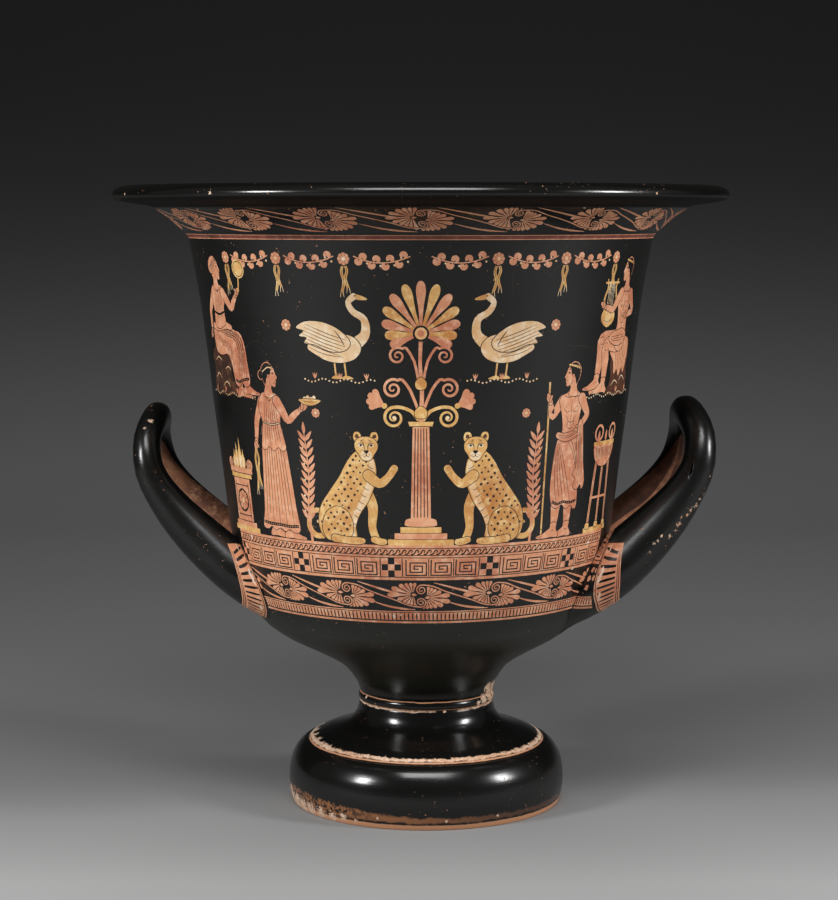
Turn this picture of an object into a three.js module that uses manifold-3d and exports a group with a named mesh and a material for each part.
// Calyx krater: a large terracotta bowl for mixing wine and water. The wall flares up to a
// heavy rounded lip, two upturned U-shaped handles grow out of the rounded base of the bowl,
// and a ringed stem joins the bowl to a spreading foot that is hollow underneath. The whole
// vessel is fired as one, so it is one solid.
//
// Units are millimetres, +Z is up, and the painted front faces -Y. The origin is under the
// middle of the mouth, at the level that the foot stands on.

import * as THREE from 'three';
import { mergeVertices } from 'three/addons/utils/BufferGeometryUtils.js';
import Module from 'manifold-3d';

// ---- driving dimensions ----------------------------------------------------------------

const HEIGHT = 507;
const MOUTH_RADIUS = 250;
const FOOT_RADIUS = 111;
const STEM_RADIUS = 55.5;
const WALL_BASE_RADIUS = 157.5;
const WALL_TOP_RADIUS = 189;

const RESTING_RING_WIDTH = 13;
const FOOT_TOP = 49.2;
const STEM_RING_LOW = 83;
const STEM_RING_HIGH = 90.6;
const BAND_ZONE_LOW = 172;
const WALL_BASE = 233;
const WALL_TOP = 466.5;
const LIP_LOW = 491;

const WALL_THICKNESS = 9.5;
const FLOOR_THICKNESS = 12;
const FLOOR_HEIGHT = 116.5;

// The potter set the foot a little off the middle of the bowl.
const FOOT_OFFSET = 4.5;
const OFFSET_FADE_LOW = 96;
const OFFSET_FADE_HIGH = 156;

const AROUND = 56;
const HANDLE_SIDES = 12;
const HANDLE_STEPS = 28;

// ---- profile of the turned body --------------------------------------------------------
// Each stretch is a smooth curve through a few stations, written as [radius, height].

function smooth(stations, perSpan = 1) {
  const curve = new THREE.SplineCurve(straight(stations));
  return curve.getPoints(perSpan * (stations.length - 1));
}

function straight(stations) {
  return stations.map(([r, z]) => new THREE.Vector2(r, z));
}

// Rounded torus of the foot, from the resting edge up to the groove that rings its top.
function footRoundel() {
  return smooth([
    [FOOT_RADIUS, 0],
    [FOOT_RADIUS + 2.6, 9],
    [FOOT_RADIUS + 3.3, 20],
    [FOOT_RADIUS + 1.4, 34],
    [FOOT_RADIUS - 3.7, 44],
    [FOOT_RADIUS - 9.5, FOOT_TOP],
  ]);
}

// Concave upper face of the foot, from the groove up to the ring on the stem.
function footCone() {
  return smooth([
    [96, FOOT_TOP + 3],
    [87.5, 56.2],
    [76.5, 59.8],
    [66.4, 64],
    [60.8, 68.5],
    [57.2, 74.5],
    [STEM_RADIUS, STEM_RING_LOW - 0.8],
  ]);
}

// Small half-round ring between two grooves, where the stem meets the bowl.
function stemRing() {
  const middle = (STEM_RING_LOW + STEM_RING_HIGH) / 2;
  return straight([
    [STEM_RADIUS - 0.9, STEM_RING_LOW],
    [STEM_RADIUS + 0.6, STEM_RING_LOW + 1.8],
    [STEM_RADIUS + 1, middle],
    [STEM_RADIUS + 0.6, STEM_RING_HIGH - 1.8],
    [STEM_RADIUS - 0.8, STEM_RING_HIGH],
  ]);
}

// Rounded base of the bowl, up to the foot of the painted wall.
function bowlBase() {
  return smooth([
    [STEM_RADIUS, STEM_RING_HIGH + 1.4],
    [58.2, 100],
    [66.6, 112],
    [76.8, 120],
    [94.6, 130],
    [113.4, 140],
    [127.4, 150],
    [136, 160],
    [141.8, BAND_ZONE_LOW],
    [147.3, 188],
    [152.8, 209],
    [WALL_BASE_RADIUS, WALL_BASE],
  ]);
}

// Flaring wall with the picture field.
function wall() {
  return smooth([
    [WALL_BASE_RADIUS, WALL_BASE],
    [163.5, 284],
    [169.4, 330],
    [174.7, 376],
    [180.8, 421],
    [WALL_TOP_RADIUS, WALL_TOP],
  ]).slice(1);
}

// Concave band under the lip.
function cavetto() {
  return smooth([
    [WALL_TOP_RADIUS, WALL_TOP],
    [193.5, 471],
    [204, 480.3],
    [219, LIP_LOW],
  ]).slice(1);
}

// Overhanging lip: its underside, its round edge and its top, to the inner edge.
function lip() {
  return smooth([
    [219, LIP_LOW],
    [236, LIP_LOW + 2.4],
    [245.4, LIP_LOW + 4.8],
    [249.2, 498.8],
    [MOUTH_RADIUS, HEIGHT - 4.4],
    [245.5, HEIGHT - 0.8],
    [236, HEIGHT],
    [221, HEIGHT - 3],
    [205, LIP_LOW],
  ]).slice(1);
}

// A surface inside the wall, at a share of its thickness from the outer face, from the
// cavetto down to the middle of the floor. A share of 1 is the inner face of the bowl.
function within(outer, share) {
  const points = [];
  for (let i = outer.length - 2; i > 0; i -= 1) {
    const along = outer[i + 1].clone().sub(outer[i - 1]).normalize();
    const thick = THREE.MathUtils.mapLinear(outer[i].y, WALL_TOP, 100, WALL_THICKNESS, FLOOR_THICKNESS);
    const inward = new THREE.Vector2(-along.y, along.x).multiplyScalar(share * thick);
    points.push(outer[i].clone().add(inward));
  }
  const floor = straight([[30, FLOOR_HEIGHT + 1], [0, FLOOR_HEIGHT]]);
  return [...points.filter((p) => p.x > STEM_RADIUS && p.y > FLOOR_HEIGHT), ...floor];
}

// Hollow underside of the foot.
function footHollow() {
  return smooth([
    [0, 102],
    [24, 100],
    [38, 92],
    [43.5, 68],
    [60, 50],
    [84, 38],
    [FOOT_RADIUS - RESTING_RING_WIDTH - 2, 18],
    [FOOT_RADIUS - RESTING_RING_WIDTH, 0],
  ]);
}

// ---- closed bodies ---------------------------------------------------------------------

const wasm = await Module();
wasm.setup();

// A geometry with shared corners becomes a solid; faces that close up at a pole are dropped.
function solidFrom(geometry) {
  geometry.deleteAttribute('normal');
  geometry.deleteAttribute('uv');
  const merged = mergeVertices(geometry, 1e-3);
  const index = merged.index.array;
  const faces = [];
  for (let i = 0; i < index.length; i += 3) {
    const [a, b, c] = [index[i], index[i + 1], index[i + 2]];
    if (a !== b && b !== c && c !== a) faces.push(a, b, c);
  }
  return new wasm.Manifold(new wasm.Mesh({
    numProp: 3,
    vertProperties: new Float32Array(merged.attributes.position.array),
    triVerts: new Uint32Array(faces),
  }));
}

function geometryFrom(solid) {
  const mesh = solid.getMesh();
  const geometry = new THREE.BufferGeometry();
  geometry.setAttribute('position', new THREE.BufferAttribute(mesh.vertProperties, 3));
  geometry.setIndex(new THREE.BufferAttribute(mesh.triVerts, 1));
  geometry.computeVertexNormals();
  return geometry;
}

// Below the bowl everything is shifted sideways by the potter's offset.
function setFootOff(geometry) {
  const position = geometry.attributes.position;
  for (let i = 0; i < position.count; i += 1) {
    const rise = THREE.MathUtils.smoothstep(position.getZ(i), OFFSET_FADE_LOW, OFFSET_FADE_HIGH);
    position.setX(i, position.getX(i) + FOOT_OFFSET * (1 - rise));
  }
  return geometry;
}

function turned(profile) {
  const geometry = new THREE.LatheGeometry(profile, AROUND);
  geometry.rotateX(Math.PI / 2);
  return solidFrom(setFootOff(geometry));
}

// ---- handles ---------------------------------------------------------------------------
// Seen from the front, a handle leaves the base of the bowl, swings out and up, and leans
// back a little at its tip. Seen from the side it is a U: two legs and a half-round arch.

const ARCH_RADIUS = 45;
const ROOT_SPLAY = 7;

// Both were bent by hand: the right one is thicker, stands higher and leans to the front.
const LEFT = { side: -1, stout: 1, outwards: 0, lift: 0, lean: 0 };
const RIGHT = { side: 1, stout: 1.12, outwards: 2, lift: 4, lean: 0.06 };
const HANDLE_FOOT = 165;
const HANDLE_HEAD = 330;

const handleSide = new THREE.SplineCurve(straight([
  [217.5, 318.5],
  [221.4, 303],
  [219.6, 283],
  [213.3, 267],
  [200, 247],
  [182.5, 227],
  [160, 206],
  [141, 190],
  [123, 176],
  [104, 162],
]));

// Half the thickness and half the width of the handle, from its crest to its buried root.
const handleThickness = new THREE.SplineCurve(straight([
  [0, 11], [0.18, 11.4], [0.36, 13.4], [0.54, 17.2], [0.68, 20.5], [0.8, 21.8], [0.9, 19.5], [1, 13],
]));
const handleWidth = new THREE.SplineCurve(straight([
  [0, 12], [0.18, 12.4], [0.36, 13.4], [0.54, 16], [0.68, 20.5], [0.8, 25], [0.9, 24], [1, 18],
]));

// Place on the U at a run from -1 (one root) through 0 (the crest) to 1 (the other root).
function onHandle(run) {
  const length = handleSide.getLength();
  const quarter = ARCH_RADIUS * Math.PI / 2;
  const travel = Math.abs(run) * (length - ARCH_RADIUS + quarter);
  const turn = Math.min(travel, quarter) / ARCH_RADIUS;
  const leg = Math.max(0, travel - quarter);
  const down = Math.min(1, (ARCH_RADIUS * (1 - Math.cos(turn)) + leg) / length);
  const spread = ARCH_RADIUS * Math.sin(turn) + ROOT_SPLAY * leg / (length - ARCH_RADIUS);
  const side = handleSide.getPointAt(down);
  const slope = handleSide.getTangentAt(down);
  return {
    down,
    place: new THREE.Vector3(side.x, Math.sign(run) * spread, side.y),
    outward: new THREE.Vector3(-slope.y, 0, slope.x),
  };
}

// A closed round bar is bent along the U, its section an ellipse of changing size.
function handle({ side, stout, outwards, lift, lean }) {
  const bar = new THREE.CylinderGeometry(stout, stout, 2, HANDLE_SIDES, HANDLE_STEPS);
  const position = bar.attributes.position;
  const step = 1e-3;
  for (let i = 0; i < position.count; i += 1) {
    const run = position.getY(i);
    const here = onHandle(run);
    const ahead = onHandle(Math.min(1, run + step)).place;
    const behind = onHandle(Math.max(-1, run - step)).place;
    const along = ahead.sub(behind).normalize();
    const outward = here.outward.addScaledVector(along, -here.outward.dot(along)).normalize();
    const across = new THREE.Vector3().crossVectors(outward, along);
    const vertex = here.place
      .addScaledVector(outward, position.getX(i) * handleThickness.getPoint(here.down).y)
      .addScaledVector(across, position.getZ(i) * handleWidth.getPoint(here.down).y);
    const rise = THREE.MathUtils.smoothstep(vertex.z, HANDLE_FOOT, HANDLE_HEAD);
    position.setXYZ(i, vertex.x + outwards + lean * -vertex.y, vertex.y, vertex.z + lift * rise);
  }
  if (side < 0) bar.rotateZ(Math.PI);
  return solidFrom(bar);
}

// ---- the vessel ------------------------------------------------------------------------

function krater() {
  const groove = straight([[98.1, FOOT_TOP + 0.4]]);
  const bowl = [...bowlBase(), ...wall(), ...cavetto()];
  const outline = [...footRoundel(), ...groove, ...footCone(), ...stemRing(), ...bowl, ...lip()];
  const body = turned([...footHollow(), ...outline, ...within(bowl, 1)]);

  const axisTop = new THREE.Vector2(0, WALL_TOP);
  const heart = turned([...within(bowl, 0.5).reverse(), axisTop]);
  return [LEFT, RIGHT].reduce((vessel, hand) => vessel.add(handle(hand).subtract(heart)), body);
}

const terracotta = new THREE.MeshStandardMaterial({ color: 0x24221f, roughness: 0.35, metalness: 0 });

const vessel = new THREE.Mesh(geometryFrom(krater()), terracotta);
vessel.name = 'krater';

const group = new THREE.Group();
group.add(vessel);

export default group;
